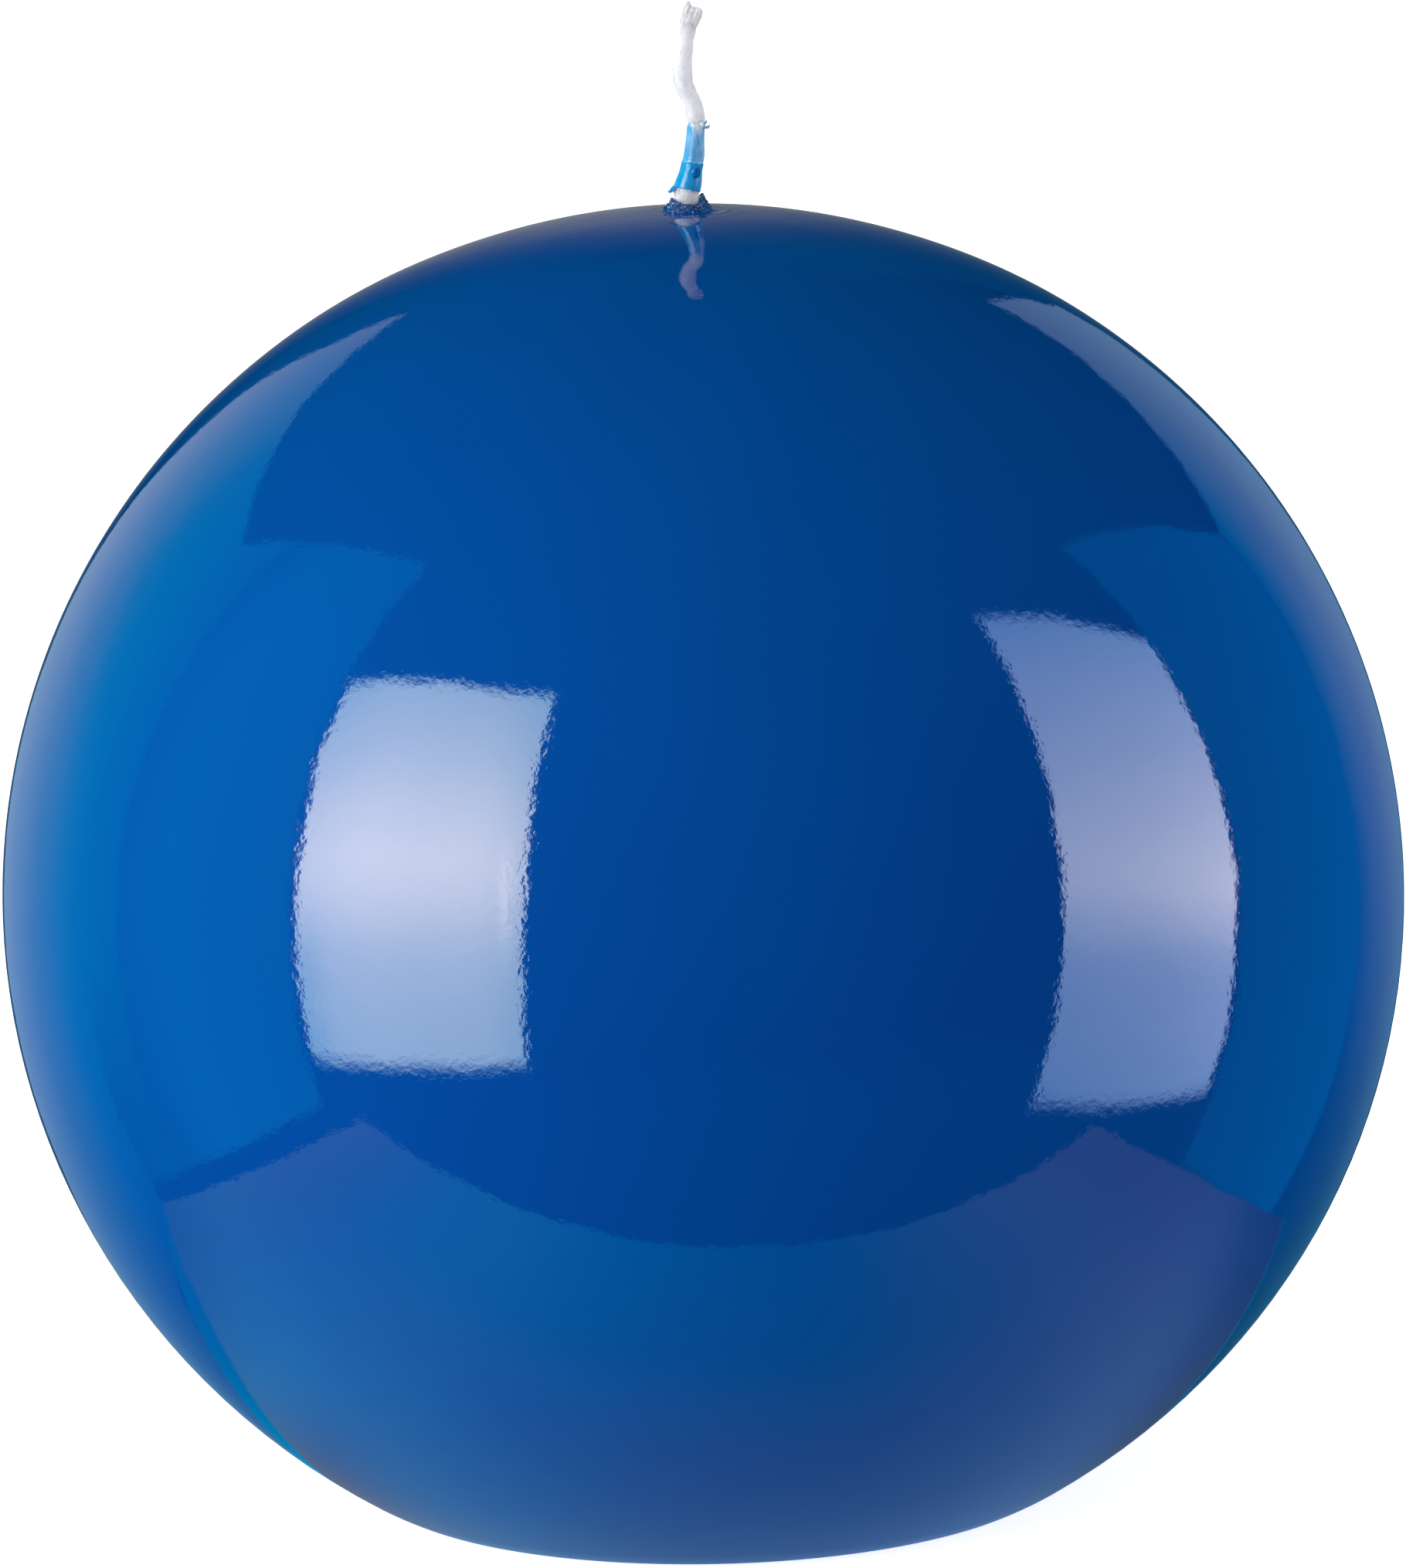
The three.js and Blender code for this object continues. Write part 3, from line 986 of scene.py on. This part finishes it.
def right_far(side, height):  # its table runs the other way
    _, green, blue = smooth_between(RIGHT_FAR, -side)
    white = smooth_between(RIGHT_FAR, -side + 70 * ease(height / 400))[0]
    low = smooth_between(LOW_RIGHT, height)
    white *= low[0]
    return white, max(white, green * low[1]), max(white, blue * low[2])


def sweep(u, v):  # the white sweep behind the ball, with v from the top down
    middle = hump(u, 0.6, 0.225)
    level = 0.25 * min(1.0, max(0.0, (v - 0.02) / 0.42)) ** 1.8 * middle
    rest = 0.08 - 0.06 * ease(v / 0.5)
    return level, level + rest + 0.04 * (1 - middle), level + rest + 0.10 * (1 - middle)


# The card that the ball stands on: green, blue and the white at its sides against how far
# across, and how its middle fades in the ball's painted shadow and gets a white veil against
# how far forward.
TABLE = [(0.8, 0.75, 0.58, 0), (0.8, 1.0, 0.36, 0.1), (1.0, 1.4, 0.17, 0.2),
         (1.12, 1.6, 0.09, 0.32), (0.9, 1.5, 0, 0.42), (0.68, 1.25, 0, 0.5), (0.56, 1.15, 0, 0.6),
         (0.56, 1.1, 0.17, 0.7), (0.54, 0.95, 0.38, 0.8), (0.42, 0.78, 0.44, 0.9),
         (0.33, 0.6, 0.44, 1)]
TABLE_SHADOW_AND_VEIL = [(0.65, 0.2, 0), (0.65, 0.2, 0.5), (0.66, 0.186, 0.55), (0.78, 0.143, 0.61),
              (0.86, 0.05, 0.7), (1, 0.02, 0.85), (1.05, 0, 1)]
CARD_CORNERS = (-78, -4), (67, 11), (88, -64), (-92, -83)
BEHIND_CARD = (0, 0.38, 0.7)  # the light past its back edge


def table(u, v):  # v runs from the back to the front
    middle = hump(u, 0.5, 0.3)
    # back, the fade and the foot shadow dim the card towards the ball: painted shadow of the ball
    # on the card's glow.
    back = 0.45 + 0.55 * ease(v / 0.35)
    painted_foot_shadow = 1 - 0.5 * (1 - ease((v - 0.14) / 0.32)) * ease((u - 0.24) / 0.1)  # by the foot
    white_kept = 1 - 1.1 * (1 - painted_foot_shadow) * ease((u - 0.45) / 0.15)
    green, blue, side = smooth_between(TABLE, u)
    fade, veil = smooth_between(TABLE_SHADOW_AND_VEIL, v)
    dim = (1 - middle * (1 - fade)) * painted_foot_shadow * back
    white = (side * back * (0.35 + 0.65 * v) + middle * veil) * white_kept
    card = white, max(white, green * dim), max(white, blue * dim)
    shown = ease((v - 0.07 * hump(u, 0.22, 0.14)) / 0.012)  # the back edge is cut in on the left
    return [gap + (light - gap) * shown for gap, light in zip(BEHIND_CARD, card)]


def make_dome():
    """The rest of the room: dim, and lighter overhead and to the left."""
    rings, spokes, lowest = 34, 48, -65
    points, colours = [], []
    for i in range(rings + 1):
        elevation = math.radians(lowest + (90 - lowest) * i / rings)
        for j in range(spokes):
            azimuth = 2 * math.pi * j / spokes
            toward = Vector((
                math.cos(elevation) * math.sin(azimuth),
                -math.cos(elevation) * math.cos(azimuth),
                math.sin(elevation),
            ))
            points.append(toward * DOME_RADIUS + Vector((0, 0, WAIST)))
            behind = max(0.0, toward.y)
            level = max(0.0, 0.10 + 0.17 * toward.z - 0.12 * toward.x - 0.10 * behind)
            below = ease((-0.18 - toward.z) / 0.2)  # the table beyond the card
            colours += [0.0, max(level, 0.14 * below), max(level * 1.05, 0.32 * below), 1.0]
    reflected("studio_dome", points, grid_faces(rings + 1, spokes), colours)


def make_panels():
    left = stand(-50, SOFTBOX_AWAY, (-282, 538), (268, 688), (293, -227), (-183, -219))
    right = stand(76, SOFTBOX_AWAY, (-125, 745), (251, 417), (187, -322), (-290, -355))
    panel("left_softbox", left, left_softbox)
    panel("right_softbox", right, right_softbox)
    left = stand(-95, WALL_AWAY, (-404, 598), (285, 1245), (500, -430), (-404, -540))
    right = stand(105, WALL_AWAY, (-117, 850), (464, 375), (464, -600), (-200, -581))
    panel("left_wall", left, left_wall)
    panel("right_wall", right, right_wall)
    wall("left_far_wall", -140, (
        ((-332, 534), (357, 606)), ((-285, 400), (357, 450)), ((-320, 230), (357, 250)),
        ((-340, 100), (357, 100)), ((-420, -60), (357, -60)), ((-500, -130), (357, -130)),
        ((-700, -160), (357, -160)), ((-700, -640), (357, -640))), left_far)
    wall("right_far_wall", 145, (
        ((-201, 342), (253, 467)), ((-201, 230), (345, 205)), ((-205, 100), (420, 75)),
        ((-210, 0), (520, 0)), ((-215, -30), (700, -30)), ((-230, -620), (700, -620))), right_far)
    back = stand(180, SWEEP_AWAY, (-250, 760), (220, 760), (260, -300), (-300, -300))
    panel("back_sweep", back, sweep)
    make_dome()
    panel("table_card", [(x, y, CARD_Z) for x, y in CARD_CORNERS], table, 120)


# ---- Lights, world and floor --------------------------------------------------------------------

def area_light(name, azimuth, elevation, level, size):
    """A soft light on the ball, 2 m away. It lights surfaces; the panels make reflections.

    Azimuth 0 is the front and goes round to the right. level is what a white surface that
    faces the light sends back.
    """
    distance = 2.0
    a, e = math.radians(azimuth), math.radians(elevation)
    data = bpy.data.lights.new(name, "AREA")
    data.shape, data.size = "SQUARE", size
    data.energy = level * (math.pi * distance) ** 2
    light = bpy.data.objects.new(name, data)
    toward = Vector((math.cos(e) * math.sin(a), -math.cos(e) * math.cos(a), math.sin(e)))
    light.location = Vector((0, 0, WAIST * MM)) + toward * distance
    light.rotation_euler = toward.to_track_quat("Z", "Y").to_euler()
    light.visible_camera = False
    light.visible_glossy = False
    bpy.context.scene.collection.objects.link(light)


def make_lights():
    area_light("key", -60, 11, 1.34, 1.3)
    area_light("fill", 95, 6, 0.53, 1.2)
    area_light("top", 40, 52, 0.13, 1.5)
    world = bpy.data.worlds.new("studio")
    world.use_nodes = True
    nodes, links = world.node_tree.nodes, world.node_tree.links
    backdrop = nodes["Background"]
    backdrop.inputs["Color"].default_value = (1.0, 1.0, 1.0, 1)
    direction = nodes.new("ShaderNodeTexCoord").outputs["Generated"]
    height = nodes.new("ShaderNodeSeparateXYZ")
    links.new(direction, height.inputs[0])
    fade = nodes.new("ShaderNodeMapRange")  # brighter from below, as off a white table
    for socket, value in (("From Min", -1), ("From Max", 1), ("To Min", 0.60), ("To Max", 0.16)):
        fade.inputs[socket].default_value = value
    links.new(height.outputs["Z"], fade.inputs["Value"])
    links.new(fade.outputs["Result"], backdrop.inputs["Strength"])
    world.cycles_visibility.glossy = False
    bpy.context.scene.world = world


def make_floor():
    m = Nodes("pale_floor", Roughness=0.85, Emission_Color=(1, 1, 1, 1), Emission_Strength=0.8)
    m.put("Base Color", m.ramp(
        m.noise(3, 2), (0.3, (0.90, 0.90, 0.90)), (0.7, (0.93, 0.93, 0.93))))
    half = 4000
    corners = [(-half, -half), (half, -half), (half, half), (-half, half)]
    floor = new_piece("floor", [(x, y, FLOOR_Z) for x, y in corners], [(0, 1, 2, 3)], m.material)
    floor.visible_glossy = False
    floor.visible_diffuse = False


make_panels()
make_lights()
make_floor()
bpy.context.scene.view_settings.view_transform = "Standard"
